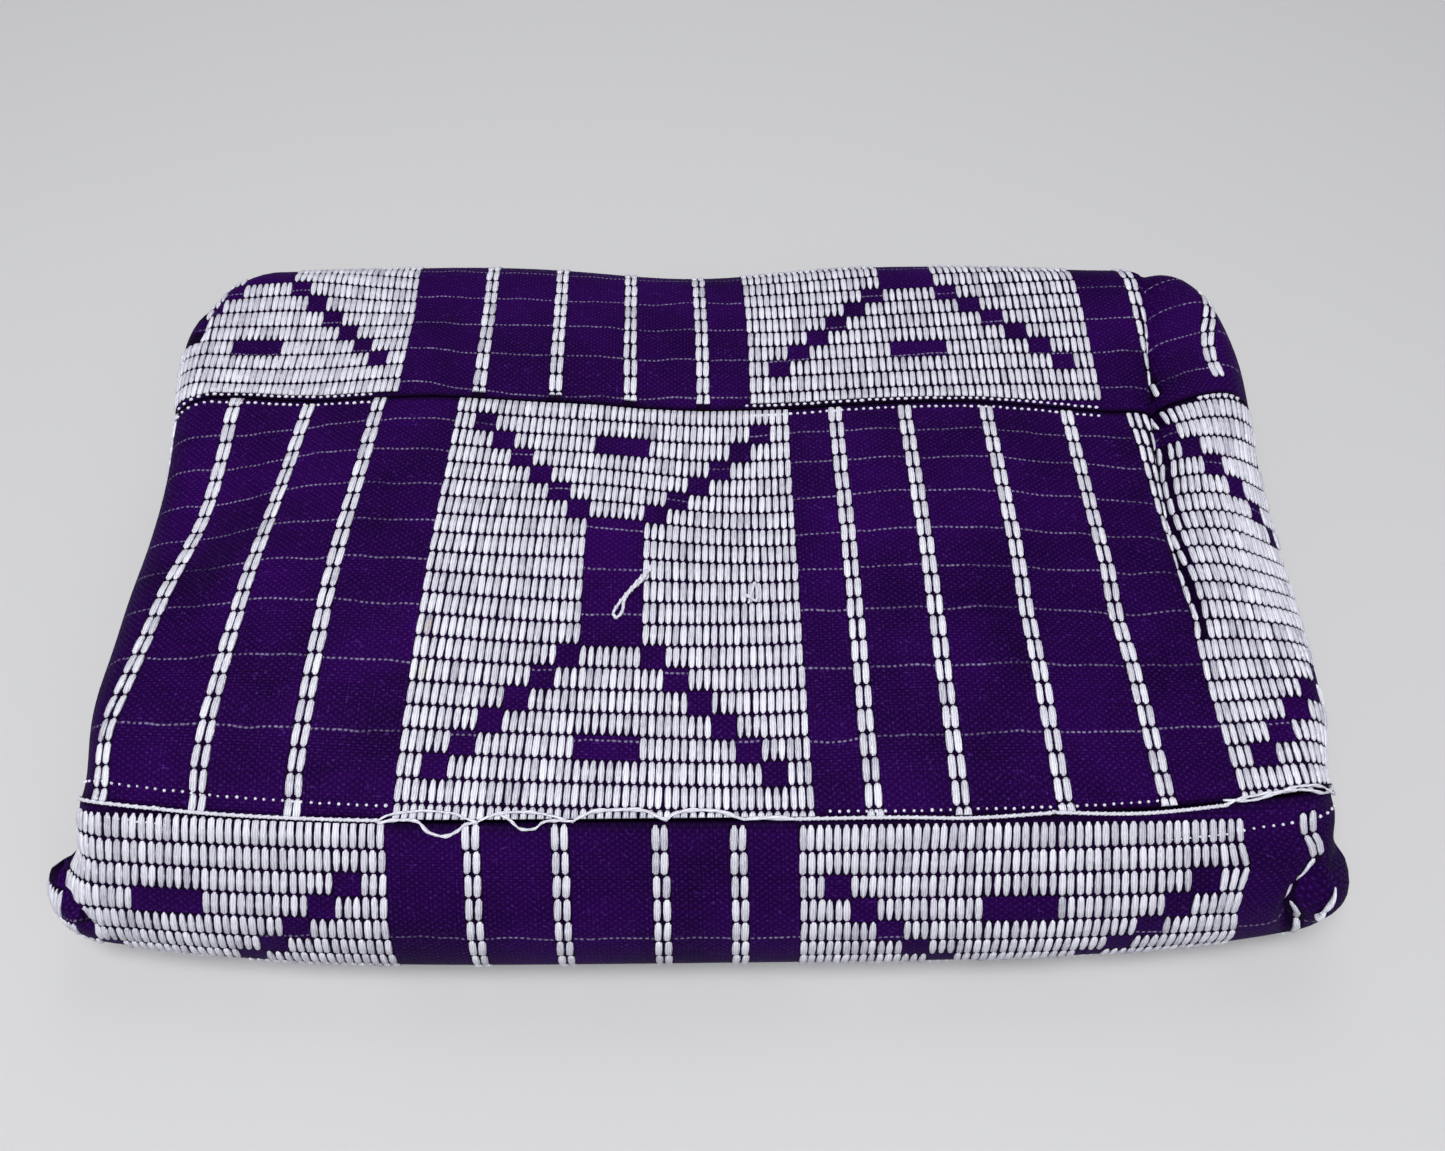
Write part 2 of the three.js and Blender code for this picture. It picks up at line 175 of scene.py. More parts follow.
def foldSection():
    # the whole cloth's section, as straight and bent pieces from the outer hem to the inner one
    rows = []
    pen = dict(y=0.0, z=cloth["thick"] / 2, heading=0.0, run=0.0)
    radius = backFold["radius"]
    rise = cloth["high"] - cloth["thick"] - 2 * radius
    tuck = seamRun - (math.pi * radius + rise) - backFold["flatTo"]
    pen["y"] = backFold["flatTo"] - tuck

    def lay(length, bend, kind, turn, side, over, overEnd):
        # an arc, by the sines and cosines of its two headings, or a straight piece
        y, z, heading, run = (pen[key] for key in ("y", "z", "heading", "run"))
        rows.append((run, length, bend, y, z, heading, kind, turn, side, over, overEnd))
        angle, after = math.radians(heading), math.radians(heading + bend)
        if bend:
            radius = length / math.radians(bend)
            y += radius * (math.sin(after) - math.sin(angle))
            z -= radius * (math.cos(after) - math.cos(angle))
        else:
            y, z = y + length * math.cos(angle), z + length * math.sin(angle)
        pen.update(y=y, z=z, heading=heading + bend, run=run + length)

    over = seamRun
    quarter = math.pi / 2 * radius
    for length, bend in ((tuck, 0), (quarter, 90), (rise, 0), (quarter, 90)):
        lay(length, bend, wrapPart, 0, 1, over, over - length)
        over -= length

    def leg(turn, side, toY):
        lay(abs(toY - pen["y"]), 0, legPart, turn, side, pen["y"], toY)

    leg(0, 1, 0)
    total = sum(length for length, bend in frontPieces(0))
    for turn in range(cloth["turns"]):
        down = turn % 2 == 0
        fold = frontPieces(turn) if down else frontPieces(turn)[::-1]
        scale = total / sum(length for length, bend in fold)
        over = 0 if down else -total
        sign = 1 if down else -1
        for length, bend in fold:
            lay(length, sign * bend, frontPart, turn, 1, over, over - sign * length * scale)
            over -= sign * length * scale
        side = -sign
        if turn == cloth["turns"] - 1:
            break
        rearY = rearReach[turn] - pitch / 2 - cloth["thick"] / 2
        leg(turn, side, rearY)
        lay(math.pi * pitch / 2, -180 * side, rearPart, turn, side, rearY, rearY)
        frontY = (turn + 1) * frontInner["setBack"]
        leg(turn + 1, side, frontY - footAhead(turn + 1) if down else frontY)
    count = int((pen["run"] + backFold["flatTo"]) // cloth["stripWide"])
    leg(cloth["turns"] - 1, 1, pen["y"] + count * cloth["stripWide"] - pen["run"])
    return np.array(rows), count


wrapPart, legPart, frontPart, rearPart = range(4)
section, stripCount = foldSection()


def sectionAt(run):
    # the place on the section, at each length of cloth from the outer hem
    run = np.asarray(run, float)
    row = section[np.clip(np.searchsorted(section[:, 0], run, "right") - 1, 0, len(section) - 1)]
    start, length, bend, y0, z0, heading, kind, turn, side, over, overEnd = np.moveaxis(row, -1, 0)
    along = run - start
    share = along / length
    angle = np.radians(heading)
    after = np.radians(heading + bend * share)
    bent = bend != 0
    radius = np.where(bent, length / np.radians(np.where(bent, bend, 1)), 0)
    y = y0 + np.where(bent, radius * (np.sin(after) - np.sin(angle)), along * np.cos(angle))
    z = z0 + np.where(bent, -radius * (np.cos(after) - np.cos(angle)), along * np.sin(angle))
    early = turn * frontInner["setBack"] * smooth(frontInner["setBackFades"], 0, y)
    early = np.where(kind == legPart, early, 0)
    over = over + (overEnd - over) * share - early
    level = np.where(kind == rearPart, turn + share, turn)
    return dict(kind=kind, turn=turn, side=side, y=y, z=z, angle=after, over=over, level=level)


def outward(place):
    # the way out of the bundle, which turns gradually near the front seam
    ease = frontInner["breakEase"]
    over, angle, side, kind = (place[key] for key in ("over", "angle", "side", "kind"))
    tilt = math.radians(frontFold["breakDeg"]) * smooth(ease, -ease, over)
    own = np.where(place["turn"] % 2 == 0, angle - math.pi, angle)
    tilt = np.where(over < -ease, own, tilt)
    level = (kind == rearPart) | (side < 0)
    y, z = np.where(level, 0, -np.sin(tilt)), np.where(level, side, np.cos(tilt))
    wrapped = kind == wrapPart
    return np.where(wrapped, np.sin(angle), y), np.where(wrapped, -np.cos(angle), z)


def endsAt(place):
    # where the flat part of a layer ends at left and right, and how its ends curl
    y, side, level = place["y"], place["side"], place["level"]
    inner = (place["kind"] != wrapPart) & ((side < 0) | (level > 0))
    lead = inner * innerEnds["rearLead"] * smooth(innerEnds["rearFrom"], innerEnds["rearTo"], y)
    above = np.where(side > 0, 1, smooth(0, underside["blend"], y))
    over = np.where(side > 0, place["over"], y) + lead
    left, right = (underside[key] + (reach(key, over) - underside[key]) * above
                   for key in ("left", "right"))
    inset = smooth(innerEnds["frontFrom"], innerEnds["frontTo"], y)
    inset = innerEnds["frontInset"] * (np.minimum(level, innerEnds["insetLevels"]) * inset)
    turns = np.arange(cloth["turns"])
    past = np.interp(level, turns, turnPast) - inset
    curl = np.interp(level, turns, turnCurls) * math.radians(endCurl["deg"])
    radius = np.maximum(endCurl["radius"] - level * pitch, frontInner["tightest"])
    out = endCurl["radius"] * math.sin(math.radians(endCurl["deg"]))
    return left + out - past, right - out + past, curl, radius


def bellAt(x, over, atX, atOver, spreadX, spreadOver):
    # a bell curve each way, 1 at one place on the cloth
    return np.exp(-((x - atX) / spreadX) ** 2 - ((over - atOver) / spreadOver) ** 2)


def creaseX(over):
    # the crease leans to the right, and curves by the square of the distance behind its start
    behind = np.maximum(0, over - crease["start"])
    return crease["x"] + crease["lean"] * behind + crease["curve"] * behind**2


def riseAt(x, place):
    # soft hills and hollows as bell curves, and the crease as a trough with a roll beyond it
    over, level = place["over"], place["level"]
    rise = 0
    for *bell, height in swells:
        rise = rise + height * bellAt(x, over, *bell)
    fromCrease = x - creaseX(over)
    flatTo = backFold["flatTo"]
    shown = smooth(crease["none"], crease["full"], over) * smooth(seamRun, flatTo, over)
    hump = np.exp(-((fromCrease - roll["beyond"]) / roll["spread"]) ** 2)
    trough = np.exp(-(fromCrease / crease["spread"]) ** 2)
    rise = rise + shown * (roll["rise"] * hump - crease["depth"] * trough)
    foldLength = sum(length for length, bend in frontPieces(0))
    behind = smooth(seamRun, flatTo + backFold["swellsPast"], over)
    rise = rise * np.where(over < 0, smooth(-foldLength, 0, over), behind)
    deep = np.minimum(0, rise + layerLoss["hollow"] * level)
    rise = np.where(rise > 0, rise * (1 - layerLoss["hill"] * level), deep)
    return np.where(place["side"] < 0, 0, rise)


grooves = [    # points x and over, which way it pushes, depth, spread, and how near no float lies
    dict(points=[(115.8, 166), (112.6, 142), (110, 128), (108.2, 115), (106.6, 104), (105, 92),
                 (103.9, 80), (102.8, 66), (102, 52), (102.4, 36)],
         push=(-0.1, 0, -1), depth=2.3, spread=1.3, bare=0.35),
    dict(points=[(120, -15), (116.5, -17.5), (113.4, -21), (112.6, -25), (114.5, -30), (117, -34)],
         push=(-0.3, 0.9, 0.2), depth=3.2, spread=2.2, bare=1.5),
    dict(points=[(131, -19), (124, -18.6), (117, -18.6)],
         push=(-0.8, 0.6, 0), depth=2, spread=2.4, bare=0.6),
    dict(points=[(-132.5, -17.5), (-129, -20.3), (-126, -21), (-123.5, -22.5), (-121.5, -25),
                 (-118.5, -29)],
         push=(0.8, 0.6, 0), depth=2, spread=1.5, bare=1.25),
    dict(points=[(-122, 147), (-124.6, 140), (-125, 132), (-123.6, 124)],
         push=(0.6, 0, -0.8), depth=1.5, spread=1.8, bare=0.5),
]
grooveShade = dict(narrows=1.6, endsIn=3, least=0.3)    # how the ground darkens in a groove
tucks = [    # x, over, spread along x, spread across, and the shift along X, Y and Z
    (129, -13, 11, 7, -3.2, 0, 0),
    (124, -27, 6, 5, 1, -0.8, 0),
    (-133, -19.5, 6, 4, -2.6, 0, 1),
    (-129, -12, 9, 4.5, 2.2, 0, 0),
    (113.5, 84, 6, 40, 0, 0, 0.9),
]
barePatches = [(-129.5, 132.5, 5, 7), (128, -24, 6, 5)]    # x, over, half width, half height
lying = dict(floorLift=0.48, foldsFade=0.4)    # the yarn below lifts it; folds fade layer by layer


def fromGroove(x, over, points):
    # the distance to a line of points, and a share that fades to 0 at its ends
    nearest, share = np.full(np.shape(x), 1e9), np.zeros(np.shape(x))
    for i in range(len(points) - 1):
        (aX, aOver), (bX, bOver) = points[i], points[i + 1]
        wide, deep = bX - aX, bOver - aOver
        t = np.clip(((x - aX) * wide + (over - aOver) * deep) / (wide**2 + deep**2), 0, 1)
        away = np.hypot(x - aX - t * wide, over - aOver - t * deep)
        share = np.where(away < nearest, i + t, share)
        nearest = np.minimum(away, nearest)
    share = np.minimum(share, len(points) - 1 - share)
    return nearest, smooth(0, 1, share)


def foldShift(x, place):
    # the sharper creases and tucks of the outside, which fade out over the layers below
    over = place["over"]
    shift = np.zeros(np.shape(x) + (3,))
    for groove in grooves:
        away, share = fromGroove(x, over, groove["points"])
        deep = groove["depth"] * share * np.exp(-((away / groove["spread"]) ** 2))
        shift = shift + deep[..., None] * np.array(groove["push"])
    for tuck in tucks:
        shift = shift + bellAt(x, over, *tuck[:4])[..., None] * np.array(tuck[4:])
    shown = np.maximum(0, 1 - lying["foldsFade"] * place["level"])
    shown = np.where(place["side"] > 0, shown, 0)
    return shift * shown[..., None]


def bowAt(bow, x, y):
    # how far an edge bows: by a power of the distance from the middle, and less away from it
    share = smooth(bow["noneAt"], bow["wholeAt"], y)
    return bow["depth"] * np.abs(x / bow["halfWide"]) ** bow["power"] * share


def unit(v):
    # a vector divided by its length
    return v / np.linalg.norm(v, axis=-1, keepdims=True)


def middlePoint(run, u):
    # a point on the middle of the cloth: run across the strips, u along them
    place = sectionAt(run)
    left, right, curl, radius = endsAt(place)
    outY, outZ = outward(place)
    angle = np.maximum(0, np.maximum(left - u, u - right)) / radius
    bent = radius * np.sin(angle)
    x = np.clip(u, left, right) + np.where(u < left, -bent, bent)
    lift = riseAt(x, place) - radius * (1 - np.cos(angle))
    bow = bowAt(frontBow, x, place["y"]) - bowAt(rearBow, x, place["y"])
    y = place["y"] + bow + outY * lift
    z = place["z"] + outZ * lift
    z = z + lying["floorLift"] * (1 - z / cloth["high"])
    return np.stack([x, y, z], -1) + foldShift(u, place)


def onCloth(run, u, height=0):
    # a point that far outside the middle of the cloth, with the directions along, across and out
    small = 0.04
    run, u = np.broadcast_arrays(np.asarray(run, float), np.asarray(u, float))
    along = middlePoint(run, u + small) - middlePoint(run, u - small)
    across = middlePoint(run + small, u) - middlePoint(run - small, u)
    along, across, out = unit(along), unit(across), unit(np.cross(across, along))
    point = middlePoint(run, u) + out * np.asarray(height)[..., None]
    return point, along, across, out


seamStray = dict(    # x, and how far the back seam strays across there
    path=[(-125, 0.5), (-117, 2.6), (-107, 1.8), (-98, 0.3), (-90, -0.9), (-81, -1.7), (-72, -2.5),
          (-59, -2.4), (-33, -1.9), (-17, -2.7), (-2.5, -2.8), (23, -2.6), (63, -1), (96, -1.4),
          (106, -0.4), (122, 0.5)],
    spread=10,
)


def strayed(run, u):
    # the cloth's length across, shifted so that the seam between the first two strips wanders
    atX, stray = zip(*seamStray["path"])
    near = np.exp(-(((run - cloth["stripWide"]) / seamStray["spread"]) ** 2))
    return run - np.interp(u, atX, stray) * near


def addMesh(name, points, faces, finish, attributes=None):
    # each array of faces has corner indices along its last axis
    mesh = bpy.data.meshes.new(name)
    points = toFrame(points).reshape(-1, 3)
    corners = [f.reshape(-1, f.shape[-1]) for f in faces]
    sizes = np.concatenate([np.full(len(f), f.shape[1]) for f in corners])
    flat = np.concatenate([f.ravel() for f in corners])
    mesh.vertices.add(len(points))
    mesh.vertices.foreach_set("co", points.astype(np.float32).ravel())
    mesh.loops.add(len(flat))
    mesh.loops.foreach_set("vertex_index", flat.astype(np.int32))
    mesh.polygons.add(len(sizes))
    mesh.polygons.foreach_set("loop_start", (np.cumsum(sizes) - sizes).astype(np.int32))
    mesh.polygons.foreach_set("loop_total", sizes.astype(np.int32))
    mesh.update(calc_edges=True)
    mesh.polygons.foreach_set("use_smooth", np.ones(len(sizes), bool))
    for key, values in (attributes or {}).items():
        values = np.asarray(values, np.float32)
        kind, field = ("FLOAT_VECTOR", "vector") if values.ndim > 1 else ("FLOAT", "value")
        mesh.attributes.new(key, kind, "POINT").data.foreach_set(field, values.ravel())
    mesh.materials.append(finish)
    made = bpy.data.objects.new(name, mesh)
    bpy.context.scene.collection.objects.link(made)
    return made


def ringFaces(rings, sides):
    # the quads between rings of points that follow each other
    grid = np.arange(rings * sides).reshape(rings, sides)
    after = np.roll(grid, -1, 1)
    return np.stack([grid[:-1], after[:-1], after[1:], grid[1:]], -1).reshape(-1, 4)


def addPiece(name, points, faces, finish, attributes):
    # a mesh that rides on the one body, root
    made = addMesh(name, points, faces, finish, attributes)
    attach(made, "root")
    return made


# The woven pattern. Places on it are in mm: x along the strip, over back from the front seam.
weave = dict(rowHigh=5.0, blockColumns=50, rows=21, bandStep=1.72, bandShadow=1.02)
motif = dict(rows=20, squareWide=3, stairs=6, waist=7, bar=2, middle=21)    # rows and columns
strips = [    # row 0 starts at this over; the blocks' edges; the bands between; dotted rows
    dict(firstRow=106.6, blocks=[(-156.4, -74.4), (10.1, 92.1)],
         bands=[-54.8, -36.5, -18.7, -1.1, 105.4, 122.2], dotted=[-0.25, 2.05, 4.2, 6.4, 8.8]),
    dict(firstRow=1.75, blocks=[(-58.7, 19.0), (98.9, 176.6)],
         bands=[-131.5, -113.4, -95.2, -77.3, 29.9, 46.0, 65.3, 84.9],
         dotted=[2.8, 5.8, 8.4, 10.5, 12.5, 14.6, 16.6, 18.4]),
    dict(firstRow=-106.45, blocks=[(-142.1, -60.3), (15.7, 97.5)],
         bands=[-44.6, -28.3, -9.9, 4.6, 109.4, 125.6], dotted=[13, 16.15]),
]
strips.append(dict(strips[1], firstRow=-210.4, dotted=[4.2, 10.5, 16.5]))
slips = [    # each strip's creep: its middle and half width, a number for each power below, and
             # local pulls: x, over, spread along x, spread across, pull along, pull across
    dict(middle=134, half=30,
         along=[-0.79, -0.56, 5.15, -0.46, 0.7, -0.86, 0.75, -0.47, 0.1, -0.33, -0.19, 0.09, 0.01],
         across=[-0.22, 2.23, 5.34, 0.14, 0.8, -1.09, 1.18, -0.79, 0.08, -1.05, -0.03, 0.17, 0.26],
         pulls=[(-48, 106, 14, 9, -0.12, -1.83), (-90, 130, 28, 18, 0.67, 1.09),
                (96, 142, 28, 18, 0.55, 1.3), (-24, 106, 14, 9, 0.17, -1.16),
                (-103, 148, 22, 14, 0, 4.5), (124, 116, 10, 18, -6, 0)]),
    dict(middle=52, half=52,
         along=[-0.29, 0.4, 0.23, -0.55, 0.47, 0.14, -1.7, 1.28, -0.5, 0.28, -0.42, 0.11, -0.19],
         across=[0.24, -1.06, 2.01, 1.31, 0.42, 0.02, 0.42, -1.92, 0.53, -0.13, -0.3, 1.05,
                 -0.2],
         pulls=[(-18, 68, 28, 18, -0.74, 2.99), (24, 68, 20, 14, 0.27, -0.78),
                (-24, 80, 20, 14, -0.08, 1.22), (114, 50, 20, 14, 1.31, 0.93),
                (78, 44, 14, 9, -1.01, -0.41), (-114, 104, 14, 9, -1.45, 1.05),
                (-118, 14, 14, 8, -1.2, 0), (-98, 0, 34, 6, 1.3, 0), (6, 14, 20, 14, -0.01, -0.73),
                (122, 66, 11, 28, 0, -8), (100, 66, 6, 26, 1.5, 0), (128, 68, 11, 26, -9, 0),
                (108, 94, 7, 14, 2.4, 0)]),
    dict(middle=-20, half=22,
         along=[0.57, 2.85, 0.66, 1.49, 0.37, -0.28, -2.12, 0.21, -0.17, -0.35, -0.65, 0.03, 0.01],
         across=[1.07, -1.35, 1.91, -0.66, 0.39, -0.35, 0.54, 0.62, -0.08, 0.17, 0.02, 0.13,
                 -0.07],
         pulls=[(113, -12.5, 12, 3.6, 2.6, 0), (113, -23, 12, 4, -2.6, 0),
                (42, -16, 20, 14, -1.02, 0.31), (-134, -24, 10, 12, 9, 0),
                (122, -8, 9, 10, 0, 3)]),
]
creep = dict(    # the powers of x that go with over to the powers 0, 1, 2 and 3
    halfWide=120, past=1.1, powers=[(i, j) for j in range(4) for i in range((5, 4, 3, 1)[j])],
)


def slip(x, over, index):
    # how far the pattern has crept along and across one strip: sums of powers of the place on it,
    # with a few local pulls as bell curves
    index = min(index, len(slips) - 1)
    own, past = slips[index], creep["past"]
    a, b = x / creep["halfWide"], np.clip((over - own["middle"]) / own["half"], -past, past)
    powers = [a**i * b**j for i, j in creep["powers"]]
    along = sum(number * power for number, power in zip(own["along"], powers))
    across = sum(number * power for number, power in zip(own["across"], powers))
    for *bell, pullAlong, pullAcross in own["pulls"]:
        share = bellAt(x, over, *bell)
        along, across = along + pullAlong * share, across + pullAcross * share
    return along, across - bowAt(frontBow, x, over)


def patternPlace(run, u, strip, index):
    # the place in the woven pattern at a place on the cloth: x, over, and the strip's own row
    over = seamRun - run
    along, across = slip(u, over, index)
    over = over - across
    return np.stack([u - along, over, (over - strip["firstRow"]) / weave["rowHigh"]], -1)


def isWhite(row, column):
    # the motif: two triangles point to point, with stepped sides, a waist and two short bars
    row, column = np.broadcast_arrays(row, column)
    mirrored = np.minimum(column, weave["blockColumns"] - 1 - column)
    step = np.minimum(row, motif["rows"] - 1 - row)
    stairs = (step >= 1) & (step <= motif["stairs"]) & (mirrored // motif["squareWide"] == step)
    middle = (mirrored >= motif["middle"]) & ((step >= motif["waist"]) | (step == motif["bar"]))
    return ~(stairs | middle)


def mathNode(operation, reflected=False):
    # a method that adds one Math node; reflected puts the wire itself last
    def method(self, *others):
        values = (*others, self) if reflected else (self, *others)
        return addNode(self.tree, "Math", dict(operation=operation), dict(enumerate(values)))
    return method


class Wire:
    # one node socket, used like a number
    def __init__(self, tree, socket):
        self.tree, self.socket = tree, socket

    __add__, __radd__ = mathNode("ADD"), mathNode("ADD", reflected=True)
    __sub__, __rsub__ = mathNode("SUBTRACT"), mathNode("SUBTRACT", reflected=True)
    __mul__, __rmul__ = mathNode("MULTIPLY"), mathNode("MULTIPLY", reflected=True)
    __truediv__, __rtruediv__ = mathNode("DIVIDE"), mathNode("DIVIDE", reflected=True)
    __gt__, __lt__ = mathNode("GREATER_THAN"), mathNode("LESS_THAN")
    __abs__, sin, floor = mathNode("ABSOLUTE"), mathNode("SINE"), mathNode("FLOOR")
    most, least = mathNode("MAXIMUM"), mathNode("MINIMUM")


def addNode(tree, kind, settings=None, sockets=None, out=0):
    # settings first, then the values or links of its sockets
    made = tree.nodes.new("ShaderNode" + kind)
    for key, value in (settings or {}).items():
        setattr(made, key, value)
    for key, value in (sockets or {}).items():
        if isinstance(value, Wire):
            tree.links.new(value.socket, made.inputs[key])
        else:
            made.inputs[key].default_value = value
    return Wire(tree, made.outputs[out] if made.outputs else None)


def linear(r, g, b):
    # a colour as picked off a picture, 0 to 255, made linear
    shares = (v / 255 for v in (r, g, b))
    return tuple(((v + 0.055) / 1.055) ** 2.4 if v > 0.04 else v / 12.92 for v in shares) + (1,)


def newFinish(name):
    # an empty material and its node tree
    material = bpy.data.materials.new(name)
    material.use_nodes = True
    material.node_tree.nodes.clear()
    return material, material.node_tree


def mixColors(share, first, second):
    # the first colour where share is 0, the second where it is 1
    sockets = {0: share, 6: first, 7: second}
    return addNode(share.tree, "Mix", dict(data_type="RGBA"), sockets, out=2)


def readPlace(tree, name):
    # a vector kept on the mesh, whole and as its three numbers
    place = addNode(tree, "Attribute", dict(attribute_name=name), out=1)
    return place, *(addNode(tree, "SeparateXYZ", None, {0: place}, out=i) for i in range(3))


def addNoise(place, scale, detail):
    # noise on a place, with one scale or with one for each way
    if isinstance(scale, tuple):
        stretch = dict(operation="MULTIPLY")
        place, scale = addNode(place.tree, "VectorMath", stretch, {0: place, 1: scale}), 1.0
    return addNode(place.tree, "TexNoise", None, dict(Vector=place, Scale=scale, Detail=detail))


def finishWith(tree, settings, color, roughness, height):
    # one shader, with a bump from the height
    normal = addNode(tree, "Bump", None, dict(Height=height, Strength=settings["bump"],
                                              Distance=settings["bumpDeep"]))
    shader = addNode(tree, "BsdfPrincipled", None, {
        "Base Color": color, "Roughness": roughness, "Normal": normal,
        "Specular IOR Level": settings["specular"]})
    addNode(tree, "OutputMaterial", None, dict(Surface=shader))


ground = dict(    # colours, sizes in mm, noises as a scale per mm and a detail, then shares
    deep=linear(18, 0, 40), bright=linear(40, 0, 74), fleck=linear(80, 40, 130),
    shadow=linear(9, 0, 20), dotted=linear(150, 142, 172),
    threadPitch=0.62, threadSharp=6, grainPitch=(1.65, 1.3), dotPitch=1.1, dotWide=0.28,
    streakNoise=((0.12, 1.6, 0), 3.0), blotchNoise=(0.045, 4.0), fleckNoise=(1.3, 2.0),
    waverNoise=((0.07, 0.02, 0.1), 2.0),
    dots=dict(wave=0.7, base=0.45, flecks=3, gain=1.2, streaks=1.6, blotches=4, fade=1.1,
              least=0.25, most=0.8),
    tone=dict(streaks=0.8, blotches=1.92, ribs=0.5, base=-1.26), waver=0.7, dotRow=0.35,
    fleckFrom=0.62, fleckGain=5, grainFrom=0.3, grainGain=0.75, fleckMost=0.6,
    underFloats=0.8, seamShade=1.5, seamDark=0.85, rough=0.7, smoother=0.12,
    bump=0.5, bumpDeep=0.00025, specular=0.03,
)


def underFloats(x, row, strip):
    # 1 on the ground that the floats cover, by the same chart as isWhite
    line = row.floor()
    step = line.least(motif["rows"] - 1 - line)
    covered = 0
    for left, right in strip["blocks"]:
        column = ((x - left) * (weave["blockColumns"] / (right - left))).floor()
        inside = (column > -1) * (column < weave["blockColumns"])
        mirrored = column.least(weave["blockColumns"] - 1 - column)
        onStep = abs((mirrored / motif["squareWide"]).floor() - step) < 0.5
        stairs = (step > 0.5) * (step < motif["stairs"] + 0.5) * onStep
        waistOrBar = (step > motif["waist"] - 0.5).most(abs(step - motif["bar"]) < 0.5)
        middle = (mirrored > motif["middle"] - 0.5) * waistOrBar
        covered = inside * (1 - stairs.most(middle)) + covered
    for center in strip["bands"]:
        covered = (abs(x - center) < weave["bandStep"] * weave["bandShadow"]) + covered
    return covered.least(1) * (row > -1) * (row < weave["rows"])


def groundFinish(name, strip):
    # plain weave, streaks along the threads, stray pale flecks, and thin broken warp lines
    material, tree = newFinish(name)
    place, x, over, row = readPlace(tree, "patternPlace")
    turnX, turnY = (way * (math.pi / ground["threadPitch"]) for way in (x, over))
    sineX, sineY = turnX.sin(), turnY.sin()
    upper = (sineX * sineY * ground["threadSharp"] + 0.5).most(0).least(1)    # which is on top
    ribs = abs(sineX) * upper + abs(sineY) * (1 - upper)
    streaks = addNoise(place, *ground["streakNoise"])
    blotches = addNoise(place, *ground["blotchNoise"])
    flecks = addNoise(place, *ground["fleckNoise"])
    grainX, grainY = (way * (2 * math.pi / pitch)
                      for way, pitch in zip((x, over), ground["grainPitch"]))
    grain = (grainX.sin() * grainY.sin() - ground["grainFrom"]).most(0)
    tone = ground["tone"]
    shade = streaks * tone["streaks"] + blotches * tone["blotches"] + ribs * tone["ribs"]
    shade = (shade + tone["base"]).most(0).least(1)
    color = mixColors(shade, ground["deep"], ground["bright"])
    specks = (flecks - ground["fleckFrom"]).most(0) * ground["fleckGain"] * ribs
    specks = (specks + grain * flecks * ground["grainGain"]).least(ground["fleckMost"])
    color = mixColors(specks, color, ground["fleck"])
    waver = addNoise(place, *ground["waverNoise"])
    lines = 0
    for at in strip["dotted"]:
        away = abs(row + waver * ground["waver"] - (at + ground["dotRow"]))
        lines = (1 - away * (weave["rowHigh"] / ground["dotWide"])).most(0) + lines
    dots = ground["dots"]
    wave = (x * (2 * math.pi / ground["dotPitch"])).sin() * dots["wave"] + dots["base"]
    wave = (wave + (flecks - 0.5) * dots["flecks"]).most(0)
    shown = (lines * wave * dots["gain"]).least(dots["most"])
    shown = shown * (streaks * dots["streaks"]).least(1)
    shown = shown * (blotches * dots["blotches"] - dots["fade"]).most(dots["least"]).least(1)
    color = mixColors(shown, color, ground["dotted"])
    covered = underFloats(x, row, strip) * ground["underFloats"]
    color = mixColors(covered, color, ground["shadow"])
    fromSeam = addNode(tree, "Attribute", dict(attribute_name="fromSeam"), out=2)
    nearSeam = (1 - fromSeam / ground["seamShade"]).most(0) * ground["seamDark"]
    color = mixColors(nearSeam, color, ground["shadow"])
    finishWith(tree, ground, color, ground["rough"] - ribs * ground["smoother"], ribs)
    return material


pale = dict(
    shade=linear(110, 106, 128), light=linear(227, 227, 238), stain=linear(214, 200, 148),
    stainedAt=[(-57, 40), (-57, 30)], stainWide=2.4, strandPitch=0.4,
    wanderNoise=(0.8, 2.0), wanderTurns=9, strandTone=0.34, wanderTone=0.6,
    rough=0.55, smoother=0.08, bump=0.5, bumpDeep=0.00022, specular=0.3,
)


def floatFinish(name):
    # loose yarn: fine strands along each float, a tone of its own for each, and faint stains
    material, tree = newFinish(name)
    place, side, along, tone = readPlace(tree, "strandPlace")
    wander = addNoise(place, *pale["wanderNoise"])
    strands = side * (2 * math.pi / pale["strandPitch"]) + wander * pale["wanderTurns"]
    strands = strands.sin() * 0.5 + 0.5
    shade = tone + (strands - 0.5) * pale["strandTone"] + (wander - 0.5) * pale["wanderTone"]
    color = mixColors(shade.most(0).least(1), pale["shade"], pale["light"])
    spot = addNode(tree, "TexCoord", out=3)
    for x, over in pale["stainedAt"]:
        middle = tuple(toFrame(middlePoint(seamRun - over, x)))
        away = addNode(tree, "VectorMath", dict(operation="DISTANCE"), {0: spot, 1: middle}, out=1)
        stained = (1 - away * (1000 / pale["stainWide"])).most(0) * wander
        color = mixColors(stained, color, pale["stain"])
    finishWith(tree, pale, color, pale["rough"] - strands * pale["smoother"], strands)
    return material


whiteYarn = floatFinish("pale_float")
groundFinishes = [groundFinish(f"ground_{i + 1}", strip) for i, strip in enumerate(strips)]
print("stage: finishes")


def addYarn(name, points, faces, side, along, tone):
    # pale yarn, with each point's place across and along its strands and its tone
    strand = np.stack(np.broadcast_arrays(side, along, tone), -1)
    return addPiece(name, points, faces, whiteYarn, dict(strandPlace=strand))


# The sheets: one for each woven strip, on its solid's folds.
sheets = dict(    # two steps and counts of columns: for the inner strips, for the outer ones
    acrossStep=(7.0, 1.8), columns=(64, 180), bendStep=9.0, endGap=0.5, rim=3, bulge=0.9,
)


